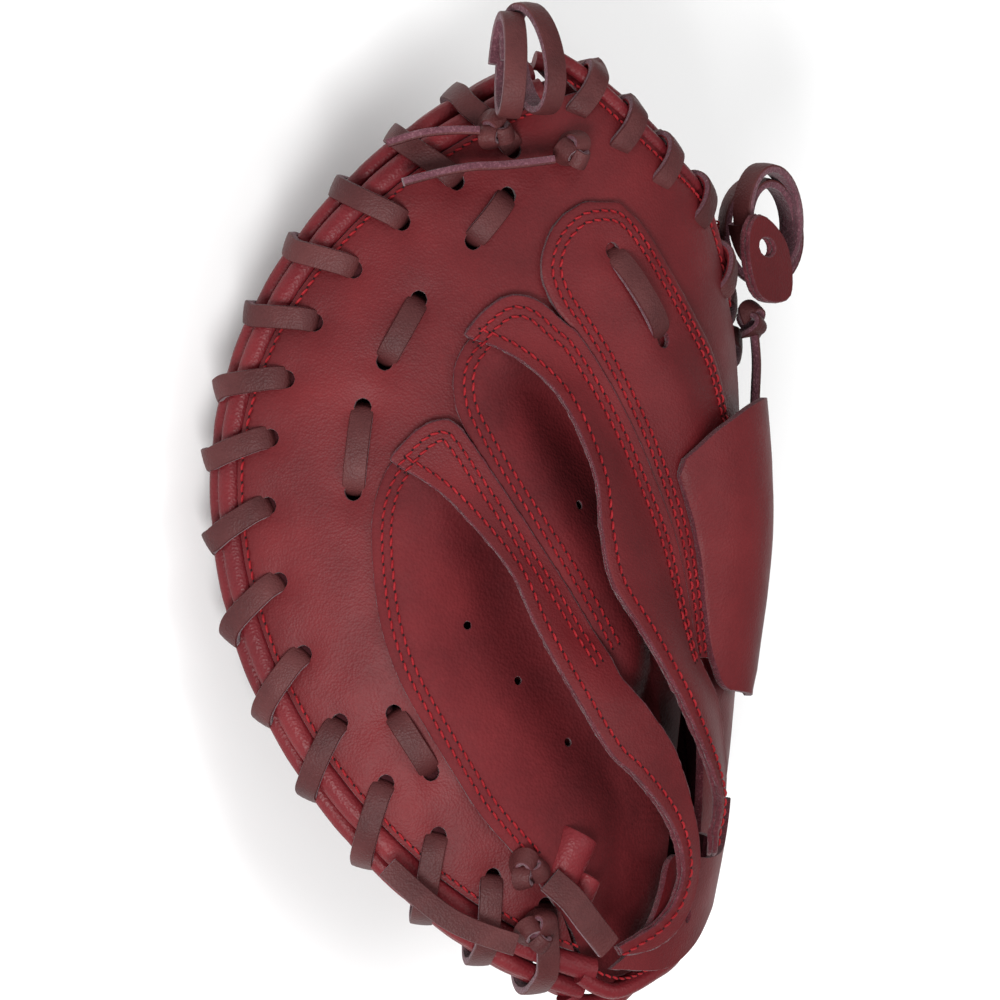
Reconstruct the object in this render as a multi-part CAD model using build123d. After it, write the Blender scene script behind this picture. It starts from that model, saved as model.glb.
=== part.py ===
from build123d import *
import math
import os

# A left-hand baseball catchers mitt lying palm down. Lengths are in millimetres.
# X runs from the little-finger side to the thumb side, Y from the heel to the toe, Z up, out of
# the back of the hand. Every layer is drawn on a flat pattern and bent onto one form:
#   s  across the pattern from the ridge over the index finger, + to the little finger
#   y  along the pattern from the heel to the toe
#   h  out of the form, + to the back of the hand

# The form that the pattern is bent on
RIDGE_RADIUS = 48.0      # of the bend over the index finger
FLANK_RADIUS = 145.0     # of the finger side and of the thumb side
RIDGE_HALF_ANGLE = 35.0  # degrees from the ridge to where the flanks start
NEUTRAL_H = 28.0         # the layer where s is a true length
BARREL_RADIUS = 634.0    # of the fall towards the heel and the toe
BARREL_Y = 150.0
ROW_PITCH = 11.0         # the most between two rows of a layer
LEAN = 8.2               # degrees that the form leans so that both rims touch the ground
SHIFT = (7.710, -147.898, 46.716)  # from the axis of the ridge to the middle of the underside

# Outline
FINGER_S, FINGER_REACH, WIDEST_Y = 30.0, 138.0, 158.0
TOE_RISE, HEEL_FALL = 128.0, 153.0
THUMB_REACH, THUMB_WIDEST_Y = 96.0, 138.0
THUMB_RISE, THUMB_FALL = 112.0, 130.0
ROUNDNESS = 1.2

# The fold between the halves
FOLD_S = -48.0
FOLD_GAP = 1.5           # from the fold to each half's palm leather
FOLD_SPREAD = 0.24       # more gap for each millimetre further out, so that the mitt can open
PALM_FOLD_H = -4.5       # the middle of the palm leather, which folds
HINGE_H = -16.0          # the straight hinge line, level with the palm leather at the heel and toe

# Layers, from the palm to the back
PALM_H = (-6.0, -3.0)
PAD_H = (-2.7, 4.7)
LINING_H = (5.0, 6.5)
EDGE_PAD_H = (6.8, 19.6)
SHELL_H = (20.0, 22.6)
TRIM_H = (22.9, 25.3)
LEATHER = 2.6

# Laces
LACE_WIDTH = 7.0
LACE_THICK = 2.8
RIM_LACE_STEP = 9.6      # degrees of the outline between wraps

# Rim: welts stacked round the edge, as (name, height, how far out)
WELT_RADIUS = 3.0
WELTS = (("palm_welt", 0.4, 3.6), ("side_welt", 6.6, 4.2), ("back_welt", 12.8, 3.4),
         ("edge_binding", 19.0, 1.2))
RIM_MIDDLE_H = 8.0
WRAP_REACH = 9.4
WRAP_INSET = 13.0
WRAP_ROUND = 8.5
WRAP_SLANT = 6.0
PALM_LACE_GAP = 1.4

# Other sizes
HOOD_RISE = 9.0
WEB_H = (8.5, 12.5)
KNOT = (12.0, 10.0, 9.0)
KNOT_ROUND = 3.5
LACE_GAP = 0.4
PAD_LACES = ((73, 246, 85, 232, 23.3), (103, 214, 114, 195, 23.3), (121, 181, 124, 155, 23.3),
             (115, 89, 103, 71, 23.3), (38, 229, 20, 202, 26.0))
END_DIAMETER = 5.0
TOE_END = ((60, 257, 31), (75, 255, 31), (90, 255, 32), (108, 250, 32))
HEEL_END = ((71, 16, 31), (86, 20, 32), (100, 28, 32), (113, 40, 31))

PARTS = {}


def flank_side(s):
    """1 on the finger side, -1 on the thumb side."""
    return 1 if s >= 0 else -1


def barrel(y):
    return math.sqrt(BARREL_RADIUS**2 - (y - BARREL_Y) ** 2) - BARREL_RADIUS


def form(s, y, h):
    """The point in space of a point on the pattern."""
    neutral = RIDGE_RADIUS + NEUTRAL_H
    ridge_s = neutral * math.radians(RIDGE_HALF_ANGLE)
    lean = math.radians(LEAN)
    if abs(s) <= ridge_s:
        angle, radius, offset = s / neutral, RIDGE_RADIUS, 0.0
    else:
        beyond = (abs(s) - ridge_s) / (FLANK_RADIUS + NEUTRAL_H)
        angle = flank_side(s) * (math.radians(RIDGE_HALF_ANGLE) + beyond)
        radius, offset = FLANK_RADIUS, FLANK_RADIUS - RIDGE_RADIUS
    reach = radius + h + barrel(y)
    edge = flank_side(s) * math.radians(RIDGE_HALF_ANGLE)
    x = offset * math.sin(edge) - reach * math.sin(angle)
    z = reach * math.cos(angle) - offset * math.cos(edge)
    across = x * math.cos(lean) + z * math.sin(lean)
    up = z * math.cos(lean) - x * math.sin(lean)
    return Vector(across + SHIFT[0], y + SHIFT[1], up + SHIFT[2])


def frame_at(s, y, h, heading=(0.0, 1.0)):
    """A plane on the form: x along the heading in the pattern, z out of the form."""
    ds, dy = heading
    size = math.hypot(ds, dy)
    step = 0.5
    here = form(s, y, h)
    along = form(s + ds / size * step, y + dy / size * step, h) - here
    out = form(s, y, h + step) - here
    return Plane(origin=here, x_dir=along, z_dir=along.cross(out).cross(along))


def finger_rim(y):
    rise = TOE_RISE if y > WIDEST_Y else HEEL_FALL
    part = max(0.0, 1 - ((y - WIDEST_Y) / rise) ** 2)
    return FINGER_S + FINGER_REACH * part ** (ROUNDNESS / 2)


def thumb_rim(y):
    rise = THUMB_RISE if y > THUMB_WIDEST_Y else THUMB_FALL
    part = max(0.0, 1 - ((y - THUMB_WIDEST_Y) / rise) ** 2)
    return FOLD_S - THUMB_REACH * part ** (ROUNDNESS / 2)


def finger_rim_at(angle):
    """A point of the finger side's outline, by its angle round the widest place."""
    c, n = math.cos(math.radians(angle)), math.sin(math.radians(angle))
    rise = TOE_RISE if n > 0 else HEEL_FALL
    return FINGER_S + FINGER_REACH * abs(c) ** ROUNDNESS, WIDEST_Y + rise * n


def thumb_rim_at(angle):
    c, n = math.cos(math.radians(angle)), math.sin(math.radians(angle))
    rise = THUMB_RISE if n > 0 else THUMB_FALL
    return FOLD_S - THUMB_REACH * abs(c) ** ROUNDNESS, THUMB_WIDEST_Y + rise * n


def between(rows, y):
    """The value at y of a list of (y, value) pairs."""
    for (y0, v0), (y1, v1) in zip(rows, rows[1:]):
        if y <= y1:
            return v0 + (v1 - v0) * (y - y0) / (y1 - y0)
    return rows[-1][1]


# Edges of the pieces on the pattern, as (y, s) pairs from the heel to the toe
FINGER_WEB_EDGE = [(0, 30), (5, -12), (19, -42), (30, -60), (196, -60), (225, -36), (246, -18), (258, 4),
                   (269, 22), (280, 39), (290, 56)]
THUMB_WEB_EDGE = [(0, 0), (176, 0), (186, -56), (215, -63), (240, -70), (252, -74)]
PINKY_BORDER = [(40, 70), (54, 84), (64, 91), (83, 104), (98, 113), (114, 119), (133, 122), (148, 122),
                (165, 115), (173, 108), (178, 100)]
RING_SEAM = [(98, 40), (105, 43), (125, 56), (141, 67), (157, 78), (166, 83), (176, 88), (190, 91),
             (199, 88), (207, 81), (212, 73)]
INDEX_SEAM = [(104, 6), (122, 11), (140, 17), (157, 25), (173, 33), (190, 43), (203, 52), (212, 59),
              (220, 62), (228, 62), (236, 58), (244, 50)]
INDEX_FAR_SIDE = [(104, -20), (150, -22), (173, -17), (195, -9), (207, 1), (222, 13), (236, 24),
                  (244, 34)]
HAND_OPENING_FAR_SIDE = [(-5, -62), (46, -62), (50, -14), (72, -9), (98, -2), (104, 6)]
BORDER_WIDTH = 8.0

# Free edges of the two flaps over the hand, as (y, s of the raw edge, how far it stands out)
PINKY_FLAP_EDGE = [(58, 26, 36), (69, 37, 37), (75, 44, 37), (95, 57, 36), (113, 67, 34), (129, 74, 32),
                   (140, 82, 30), (152, 94, 28)]
PINKY_FLAP_FAR_SIDE = [(58, 22), (72, 26), (91, 31), (104, 41.5), (152, 83)]
MIDDLE_FLAP_EDGE = [(50, 0, 35), (62, 5, 38), (78, 15, 40), (93, 25, 41), (112, 37, 41), (127, 46, 40),
                    (143, 49, 39), (159, 50, 37), (175, 55, 34), (186, 61, 32), (198, 73, 27)]


def evenly(y_from, y_to):
    count = math.ceil((y_to - y_from) / ROW_PITCH)
    return [y_from + (y_to - y_from) * i / count for i in range(count + 1)]


def fold_edge(h, side):
    """How near the fold a layer of one half may come."""
    return FOLD_S + side * (FOLD_GAP + FOLD_SPREAD * max(0.0, h - PALM_FOLD_H) / 2)


def at_height(height, s, y):
    return height(s, y) if callable(height) else height


def finer(rows):
    """The same rows with more between them, so that the slab follows the form."""
    dense = [rows[0]]
    for a, b in zip(rows, rows[1:]):
        count = math.ceil((b[0] - a[0]) / ROW_PITCH)
        for i in range(1, count + 1):
            dense.append(tuple(p + (q - p) * i / count for p, q in zip(a, b)))
    return dense


def strip(rows, low, high):
    """A bent slab from rows of (y, s of one side, s of the other); low and high are its layer."""
    sections = []
    for y, s_from, s_to in finer(rows):
        steps = [s_from + (s_to - s_from) * i / 6 for i in range(7)]
        lower = [form(s, y, at_height(low, s, y)) for s in steps]
        upper = [form(s, y, at_height(high, s, y)) for s in steps]
        sides = [Line(lower[-1], upper[-1]), Line(upper[0], lower[0])]
        sections.append(Wire([Spline(*lower), sides[0], Spline(*upper[::-1]), sides[1]]))
    return Solid.make_loft(sections, True)


def half_rows(y_from, y_to, outer_h, inset, side):
    """Rows of one half, from its rim to the fold or the web."""
    rows = []
    for y in evenly(y_from, y_to):
        if side > 0:
            inner = max(fold_edge(outer_h, 1), between(FINGER_WEB_EDGE, y) + inset)
            rows.append((y, finger_rim(y) - inset, inner))
        else:
            inner = min(fold_edge(outer_h, -1), between(THUMB_WEB_EDGE, y) - inset)
            rows.append((y, thumb_rim(y) + inset, inner))
    return rows


def rim_frame(side, angle, h, outward=0.0):
    """A plane on the outline: x outwards across the rim, z out of the form."""
    at = finger_rim_at if side > 0 else thumb_rim_at
    (s, y), (s_a, y_a), (s_b, y_b) = at(angle), at(angle - 1), at(angle + 1)
    across, along = side * (y_b - y_a), side * (s_a - s_b)
    size = math.hypot(across, along)
    across, along = across / size, along / size
    return frame_at(s + across * outward, y + along * outward, h, (across, along))


def eased(points):
    """The path through corner points, with each arc as large as its runs allow."""
    radii = []
    for a, b, c in zip(points, points[1:], points[2:]):
        before, after = b - a, c - b
        half_turn = math.radians(before.get_angle(after)) / 2
        radii.append(0.45 * min(before.length, after.length) / math.tan(half_turn))
    return FilletPolyline(*points, radius=radii), radii


def tube(points, diameter):
    """A round tube along corner points in space."""
    path = eased(points)[0]
    start = Plane(origin=path @ 0, z_dir=path % 0)
    return sweep(start * Circle(diameter / 2), path=path)


def pattern(*points):
    return [form(*point) for point in points]


def strap(s, y, h, heading, length, width=LACE_WIDTH, thick=LACE_THICK):
    """A short straight piece of lace that lies on the form."""
    return frame_at(s, y, h + thick / 2, heading) * Box(length, width, thick)


def lace_loop(s, y, h, heading, length, height, turn):
    """A loose loop of lace that stands on the form."""
    ring = Ellipse(length / 2, height / 2) - Ellipse(length / 2 - LACE_THICK, height / 2 - LACE_THICK)
    flat = extrude(Plane.XZ * ring, LACE_WIDTH / 2, both=True)
    return frame_at(s, y, h, heading) * Rot(X=turn) * flat


def knot(s, y, h, heading=(1.0, 0.0)):
    lump = fillet(Box(*KNOT).edges(), KNOT_ROUND)
    return frame_at(s, y, h, heading) * lump


# The leather, the padding and the linings of the finger side

def finger_layers():
    PARTS["palm_shell_fingers"] = strip(half_rows(4, 281, PALM_H[1], 1, 1), *PALM_H)
    PARTS["heel_pad_fingers"] = strip(half_rows(12, 46, PAD_H[1], 7, 1), *PAD_H)
    PARTS["palm_pad_fingers"] = strip(half_rows(46.5, 270, PAD_H[1], 7, 1), *PAD_H)
    PARTS["hand_lining"] = strip(half_rows(12, 256, LINING_H[1], 9, 1), *LINING_H)
    edge = [(y, finger_rim(y) - 9, finger_rim(y) - 34) for y in evenly(26, 250)]
    PARTS["finger_edge_pad"] = strip(edge, *EDGE_PAD_H)


def pinky_opening():
    """The rows of the opening over the little and ring fingers."""
    rows = []
    for y in (100, 105, 125, 141, 157, 169):
        rows.append((y, between(PINKY_BORDER, y) - BORDER_WIDTH, between(RING_SEAM, y) + BORDER_WIDTH))
    return rows


def middle_opening():
    rows = []
    for y in (100, 125, 141, 157, 176, 190, 199, 206):
        rows.append((y, between(RING_SEAM, y) - BORDER_WIDTH, between(INDEX_SEAM, y) + BORDER_WIDTH))
    return rows


def hand_opening():
    """The rows of the opening that the hand enters, from the heel to the two finger openings."""
    rows = [(-6, 36, -62), (20, 50, -62)]
    for y in (40, 46, 50, 64, 83, 100.5):
        rows.append((y, between(PINKY_BORDER, y) - BORDER_WIDTH, between(HAND_OPENING_FAR_SIDE, y)))
    return rows


def back_shell():
    shell = strip(half_rows(4, 281, SHELL_H[1], 4.2, 1), *SHELL_H)
    for opening in (pinky_opening(), middle_opening(), hand_opening()):
        shell -= strip(opening, SHELL_H[0] - 6, SHELL_H[1] + 6)
    PARTS["back_shell_fingers"] = shell


def arm(line, ys, from_line, to_line):
    rows = [(y, between(line, y) + from_line, between(line, y) + to_line) for y in ys]
    return strip(rows, *TRIM_H)


def stall_borders():
    PARTS["pinky_stall_border"] = Compound([
        arm(PINKY_BORDER, (40, 54, 64, 83, 98, 114, 133, 148, 165, 173, 178), 0, -BORDER_WIDTH),
        arm(RING_SEAM, (98, 105, 125, 141, 157, 166, 174), BORDER_WIDTH, 0.3)])
    PARTS["middle_stall_border"] = Compound([
        arm(RING_SEAM, (98, 105, 125, 141, 157, 166, 176, 190, 199, 207, 211), -0.3, -BORDER_WIDTH),
        arm(INDEX_SEAM, (104, 122, 140, 157, 173, 190, 203, 211), BORDER_WIDTH - 0.8, 0.3)])
    rows = [(y, between(INDEX_SEAM, y) - 0.3, between(INDEX_FAR_SIDE, y)) for y in
            (104, 122, 140, 157, 173, 190, 203, 212, 220, 228, 236, 244)]
    PARTS["index_stall_panel"] = strip(rows, *TRIM_H)


def rising(rows, low_h, top_h):
    """A height that climbs from the second side of the rows to the first."""
    firsts = [(y, a) for y, a, b in rows]
    seconds = [(y, b) for y, a, b in rows]

    def height(s, y):
        a, b = between(firsts, y), between(seconds, y)
        top = top_h(y) if callable(top_h) else top_h
        return low_h + (top - low_h) * max(0.0, (s - b) / (a - b)) ** 1.5
    return height


def stall_linings():
    rows = [(44, 64, 22), (64, 85, 26), (83, 98, 30), (98, 107, 50), (114, 113, 57), (133, 116, 69),
            (148, 116, 79), (160, 112, 86)]
    low = rising(rows, 8.0, 17.5)
    PARTS["pinky_stall_lining"] = strip(rows, low, lambda s, y: low(s, y) + 1.5)
    rows = [(y, a + 3, b) for y, a, b in middle_opening()[1:]]
    middle_low = rising(rows, 7.5, 11.0)
    PARTS["middle_stall_lining"] = strip(rows, middle_low, lambda s, y: middle_low(s, y) + 1.5)


def flap(edge, far_side, root_h):
    """A flap that leaves the shell at its far side and lifts to its raw edge."""
    rows = [(y, s, far_side(y)) for y, s, h in edge]
    edge_h = [(y, h) for y, s, h in edge]
    low = rising(rows, root_h, lambda y: between(edge_h, y))
    return strip(rows, low, lambda s, y: low(s, y) + LEATHER)


def flaps():
    PARTS["ring_finger_flap"] = flap(PINKY_FLAP_EDGE, lambda y: between(PINKY_FLAP_FAR_SIDE, y), 26.0)

    def far_side(y):
        if y > 104:
            return between(INDEX_SEAM, y) + BORDER_WIDTH
        return between(HAND_OPENING_FAR_SIDE, y) + 1 + max(0.0, (y - 90) / 2)
    PARTS["middle_finger_flap"] = flap(MIDDLE_FLAP_EDGE, far_side, 26.0)


def index_hood():
    rows = [(94, -6, -34), (100, -2, -40), (120, 3, -43), (140, 8, -43), (160, 16, -43), (170, 9, -40),
            (180, -4, -34)]
    firsts = [(y, a) for y, a, b in rows]
    seconds = [(y, b) for y, a, b in rows]

    def low(s, y):
        a, b = between(firsts, y), between(seconds, y)
        return TRIM_H[1] + 0.4 + HOOD_RISE * math.sin(math.pi * (s - b) / (a - b))
    PARTS["index_hood"] = strip(rows, low, lambda s, y: low(s, y) + LEATHER)


def wrist():
    rows = [(9, 30, 2), (16, 19, -20), (26, 12, -38), (36, 11, -41), (45, 9, -42)]
    PARTS["wrist_band_fingers"] = strip(rows, SHELL_H[1] + 0.4, SHELL_H[1] + 0.4 + LEATHER)
    rows = [(30, -56, -66), (45, -56, -70), (60, -56, -70)]
    PARTS["wrist_band_thumb"] = strip(rows, SHELL_H[1] + 0.4, SHELL_H[1] + 0.4 + LEATHER)
    roll = pattern((34, -5, 8), (14, -3, 8), (-8, 2, 8), (-26, 9, 8), (-40, 19, 8))
    PARTS["heel_binding_fingers"] = tube(roll, 7)
    loops = []
    for s, y in ((50, 44), (44, 33)):
        at = frame_at(s, y, 20.5, (0.5, -1.0))
        loops.append(Plane(origin=at.origin, x_dir=at.z_dir, z_dir=at.x_dir) * Cylinder(4, 13))
    PARTS["pull_loops"] = Compound(loops)


# The thumb side

def thumb_layers():
    PARTS["palm_shell_thumb"] = strip(half_rows(12, 243, PALM_H[1], 1, -1), *PALM_H)
    PARTS["heel_pad_thumb"] = strip(half_rows(18, 50, PAD_H[1], 7, -1), *PAD_H)
    PARTS["palm_pad_thumb"] = strip(half_rows(50.5, 230, PAD_H[1], 7, -1), *PAD_H)
    PARTS["thumb_lining"] = strip(half_rows(22, 228, LINING_H[1], 9, -1), *LINING_H)
    edge = [(y, thumb_rim(y) + 9, thumb_rim(y) + 24) for y in evenly(34, 215)]
    PARTS["thumb_edge_pad"] = strip(edge, *EDGE_PAD_H)
    rows = []
    for y in evenly(24, 235):
        rows.append((y, thumb_rim(y) + 5.6, min(-62 - LACE_THICK, between(THUMB_WEB_EDGE, y) - 4)))
    PARTS["back_shell_thumb"] = strip(rows, *SHELL_H)
    rows = [(50, -100, -74), (75, -112, -76), (100, -119, -78), (150, -121, -81), (190, -114, -84),
            (208, -104, -90)]
    PARTS["thumb_stall_panel"] = strip(rows, *TRIM_H)
    PARTS["thumb_loop"] = strip([(95, -108, -72), (115, -108, -72)], 13.5, 15.5)


# Rim, web and laces

def rim_welts():
    finger_angles = [-76 + 11.5 * i for i in range(14)]
    thumb_angles = [-70 + 13 * i for i in range(12)]
    for name, h, outward in WELTS:
        for half, side, angles in (("fingers", 1, finger_angles), ("thumb", -1, thumb_angles)):
            route = [rim_frame(side, angle, h, outward).origin for angle in angles]
            PARTS[f"{name}_{half}"] = tube(route, 2 * WELT_RADIUS)


def rim_wrap():
    """One turn of lace over the rim, from its hole in the back to its hole in the palm."""
    top = SHELL_H[1] + LACE_THICK / 2 + LACE_GAP - RIM_MIDDLE_H
    bottom = PALM_H[0] - LACE_THICK / 2 - PALM_LACE_GAP - RIM_MIDDLE_H
    out = WRAP_REACH + LACE_THICK / 2
    corners = [(-WRAP_INSET, 0, top), (out, 0, top), (out, 0, bottom), (-WRAP_INSET, 0, bottom)]
    path = FilletPolyline(*corners, radius=WRAP_ROUND)
    return sweep(Plane(origin=corners[0], z_dir=(1, 0, 0)) * Rectangle(LACE_THICK, LACE_WIDTH), path=path)


def rim_lacing():
    wrap = rim_wrap()
    for name, side, first, last in (("fingers", 1, 64, -74), ("thumb", -1, 60, -62)):
        count = round((first - last) / RIM_LACE_STEP)
        wraps = []
        for i in range(count + 1):
            at = rim_frame(side, first + (last - first) * i / count, RIM_MIDDLE_H)
            wraps.append(at * Rot(Z=WRAP_SLANT * side) * wrap)
        PARTS[f"rim_lacing_{name}"] = Compound(wraps)


def pad_lacing():
    straps = []
    for s0, y0, s1, y1, h in PAD_LACES:
        length = math.hypot(s1 - s0, y1 - y0)
        straps.append(strap((s0 + s1) / 2, (y0 + y1) / 2, h, (s1 - s0, y1 - y0), length))
    PARTS["pad_lacing"] = Compound(straps)


def web():
    rows = [(196, -36, -44), (210, -29, -44), (225, -22, -44), (240, -9, -44), (247, 0, -42),
            (254, 12, -22), (263, 26, -2), (272, 40, 20), (279, 48, 36)]
    PARTS["web_panel_fingers"] = strip(rows, *WEB_H)
    rows = [(196, -53, -62), (212, -53, -69), (226, -53, -72), (238, -53, -70), (247, -53, -64)]
    PARTS["web_panel_thumb"] = strip(rows, *WEB_H)
    roll_h = (WEB_H[0] + WEB_H[1]) / 2
    top_edge = ((58, 288), (38, 284), (16, 275), (-6, 266), (-26, 257.5), (-44, 255))
    PARTS["web_top_roll_fingers"] = tube(pattern(*((s, y, roll_h) for s, y in top_edge)), 6)
    top_edge = ((-53, 253), (-62, 253), (-71, 256))
    PARTS["web_top_roll_thumb"] = tube(pattern(*((s, y, roll_h) for s, y in top_edge)), 6)
    seam = []
    for y, slant in ((276, -0.5), (266, 0.5), (254, -0.5), (242, 0.5), (226, -0.5), (212, 0.5)):
        s = between(FINGER_WEB_EDGE, y) + 8
        seam.append(strap(s, y, SHELL_H[1] + 0.9, (-1.0, 0.9 + slant), 17))
    PARTS["web_seam_lacing_fingers"] = Compound(seam)
    seam = []
    for y in (200, 213, 226):
        seam.append(strap(between(THUMB_WEB_EDGE, y) - 9, y, SHELL_H[1] + 0.9, (1.0, 0.5), 15))
    PARTS["web_seam_lacing_thumb"] = Compound(seam)
    cross = []
    for y in (203, 214, 225, 236, 247):
        cross.append(strap(-60, y, WEB_H[1] + 0.9, (1.0, 0.4), 11, width=6))
    PARTS["web_center_lacing"] = Compound(cross)


def toe_and_thumb_tip():
    PARTS["toe_lace_loops"] = Compound([lace_loop(66, 288, 36.5, (0.1, 1.0), 33, 20, 25),
                                        lace_loop(78, 286, 36.5, (-0.1, 1.0), 31, 20, -10)])
    loops = [lace_loop(-74 - 9 * i, 240 - 3 * i, 38.5, (0.25, 1.0), 34, 22, 20 - 20 * i) for i in range(3)]
    PARTS["thumb_tip_loops"] = Compound(loops)
    plate = fillet(Box(24, 15, 3).edges().filter_by(Axis.Z), 7) - Pos(X=5) * Cylinder(3.5, 10)
    PARTS["thumb_tip_tab"] = frame_at(-58.5, 228, 27.5, (0.1, 1.0)) * plate
    PARTS["toe_knots"] = Compound([knot(78, 263.5, 31), knot(52, 260, 31)])
    PARTS["thumb_tip_knot"] = knot(-58, 208, 31)
    PARTS["heel_knots"] = Compound([knot(67, 39, 31), knot(63, 20, 31)])
    PARTS["heel_lace_end"] = strap(49, 26, 30, (-1.0, -0.75), 24)
    PARTS["toe_lace_end_short"] = strap(99, 265, 31, (1.0, -0.12), 28)
    PARTS["thumb_tip_lace_end"] = strap(-60, 184, 27, (-0.1, -1.0), 34)


def lace_ends():
    """The two long free ends, each as the tube that its flat lace takes up."""
    for name, route in (("toe_lace_end", TOE_END), ("heel_lace_end_long", HEEL_END)):
        points = pattern(*route)
        path, radii = eased(points)
        end = tube(points, END_DIAMETER)
        section = math.pi * END_DIAMETER**2 / 4
        print(name, "length", round(path.length, 1), "radii", [round(r) for r in radii],
              "volume over section x length", round(end.volume / (section * path.length), 3))
        PARTS[name] = end


def main():
    for make in (finger_layers, back_shell, stall_borders, stall_linings, flaps, index_hood, wrist,
                 thumb_layers, rim_welts, rim_lacing, pad_lacing, web, toe_and_thumb_tip, lace_ends):
        make()
    os.makedirs("parts", exist_ok=True)
    for name, solid in PARTS.items():
        solid.label = name
        export_step(solid, f"parts/{name}.step")
    box = Compound(list(PARTS.values())).bounding_box()
    print(len(PARTS), "nodes; box", box.min, box.max)
    print("hinge line", form(FOLD_S, BARREL_Y, HINGE_H))


main()
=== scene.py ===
import math

import bpy
import numpy as np
from mathutils import Matrix, Vector, geometry


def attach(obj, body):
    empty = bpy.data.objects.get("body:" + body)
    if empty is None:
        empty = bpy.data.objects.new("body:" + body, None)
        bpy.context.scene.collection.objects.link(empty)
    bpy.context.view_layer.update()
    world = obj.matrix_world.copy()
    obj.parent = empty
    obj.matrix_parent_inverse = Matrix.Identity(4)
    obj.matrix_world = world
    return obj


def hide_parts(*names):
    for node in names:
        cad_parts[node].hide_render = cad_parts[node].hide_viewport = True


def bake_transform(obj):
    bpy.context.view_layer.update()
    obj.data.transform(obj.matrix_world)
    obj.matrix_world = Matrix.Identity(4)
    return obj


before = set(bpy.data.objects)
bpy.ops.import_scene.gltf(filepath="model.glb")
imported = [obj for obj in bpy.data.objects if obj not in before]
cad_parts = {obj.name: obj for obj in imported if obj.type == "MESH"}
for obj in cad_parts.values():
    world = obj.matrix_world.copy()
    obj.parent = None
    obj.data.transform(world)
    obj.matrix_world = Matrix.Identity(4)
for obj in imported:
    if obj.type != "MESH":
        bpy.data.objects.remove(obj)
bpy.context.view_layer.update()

# A left-hand baseball catchers mitt lying palm down, in oxblood leather with plum laces. Every
# piece is drawn on a flat pattern in millimetres and bent onto the form that the CAD uses:
#   s  across the pattern from the ridge over the index finger, + to the little finger
#   y  along the pattern from the heel to the toe
#   h  out of the form, + to the back of the hand

FINGERS, THUMB = "finger_side", "thumb_side"
MM = 0.001

# The form
RIDGE_RADIUS, FLANK_RADIUS = 48.0, 145.0
RIDGE_HALF_ANGLE = math.radians(35.0)
NEUTRAL_H = 28.0
BARREL_RADIUS, BARREL_Y = 634.0, 150.0
LEAN = math.radians(8.2)
SHIFT = (7.710, -147.898, 46.716)

# The outline of each half: (side, middle s, reach, widest y, rise, fall)
ROUNDNESS = 1.2
HALVES = {"fingers": (1, 30.0, 138.0, 158.0, 128.0, 153.0),
          "thumb": (-1, -48.0, 96.0, 138.0, 112.0, 130.0)}
FOLD_S = -48.0

# Layers, from the palm to the back
PALM_H = (-6.0, -3.0)
PAD_H = (-2.7, 4.7)
LINING_H = (5.0, 6.5)
EDGE_PAD_H = (6.8, 19.6)
SHELL_TOP = 22.6
SHELL_THICK = 2.6
TRIM_TOP = 25.0
TRIM_THICK = 2.2
FLAP_THICK = 3.6
STALL_THICK, STALL_DEPTH = 1.6, 15.5
WEB_H = 10.5
VENT_RADIUS = 1.5

# Laces, welts and thread
LACE_WIDTH, LACE_THICK = 7.1, 2.6
WELTS = (("palm_welt", 0.4, 3.2), ("side_welt", 6.6, 3.6), ("back_welt", 12.8, 3.6))
WELT_RADIUS = 3.1
BINDING_H, BINDING_OUT = 18.8, -2.5
BINDING_RADII = (3.8, 3.0)
WRAP_ANGLES = {"fingers": (64, -74), "thumb": (60, -62)}
WRAP_STEP = 9.6
WRAP_HOLE = 16.2
WRAP_SLANT = 4.5
SHELL_INSET, RIM_ROW_INSET = 6.2, 7.9
HOLE_RADIUS = 2.9
STITCH_PITCH = 3.4
THREAD_RADIUS = 0.37
SEAM_ROWS = (3.3, 6.1)
FREE_EDGE_ROW, HEEL_ROW, WEB_ROW = 3.2, -2.2, -3.5
SEW_LIFT = 0.1
PAD_LACES = ((73, 246, 85, 232), (103, 214, 114, 195), (121, 181, 124, 155), (111, 87, 99, 69))
INDEX_PAD_LACE = (38, 229, 20, 202)

# Edges of the pieces on the pattern, as (s, y) pairs from the heel to the toe
PINKY_EDGE = [(67, 40), (81, 54), (88.5, 64), (101, 83), (109.5, 98), (115, 114), (117.5, 133), (117.5, 148),
              (114, 160), (106, 171)]
RING_SEAM = [(43, 105), (56, 125), (67, 141), (78, 157), (86, 170), (91, 180), (92, 191), (89, 199),
             (82, 207)]
INDEX_SEAM = [(6, 104), (11, 122), (17, 140), (25, 157), (33, 173), (43, 190), (52, 203), (59, 212),
              (63, 222), (61, 232), (56, 239), (48, 244)]
INDEX_FAR_SIDE = [(-20, 104), (-22, 150), (-17, 173), (-8, 195), (2, 208), (13, 222), (24, 236), (34, 244)]
WEB_EDGE = [(-44, 214), (-36, 225), (-18, 246), (4, 258), (22, 269), (39, 280), (54, 288)]
THUMB_WEB_EDGE = [(-56, 186), (-63, 215), (-70, 240), (-74, 252)]

RING_TIP = [(112, 165), (105, 172.5), (98, 176.5), (91, 175)]
MIDDLE_TIP = [(88.5, 203), (82.5, 210), (74, 215), (65, 213.5), (57, 207)]
HEEL_EDGE = [(42, 7.5), (32, 4), (20, 3), (0, 8), (-20, 14), (-43, 30)]
RING_SIDE = [(40, 98), (31, 88), (21, 76), (12, 60), (5, 48), (1, 38), (1, 28), (6, 19), (15, 14), (27, 12.5)]
MIDDLE_SIDE = [(2, 96), (-2, 86), (-7, 72), (-11, 60), (-12, 50), (-10, 43)]
PINKY_VENTS = ((87, 114), (69, 97), (50, 78))
MIDDLE_VENTS = ((50, 151),)

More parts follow.
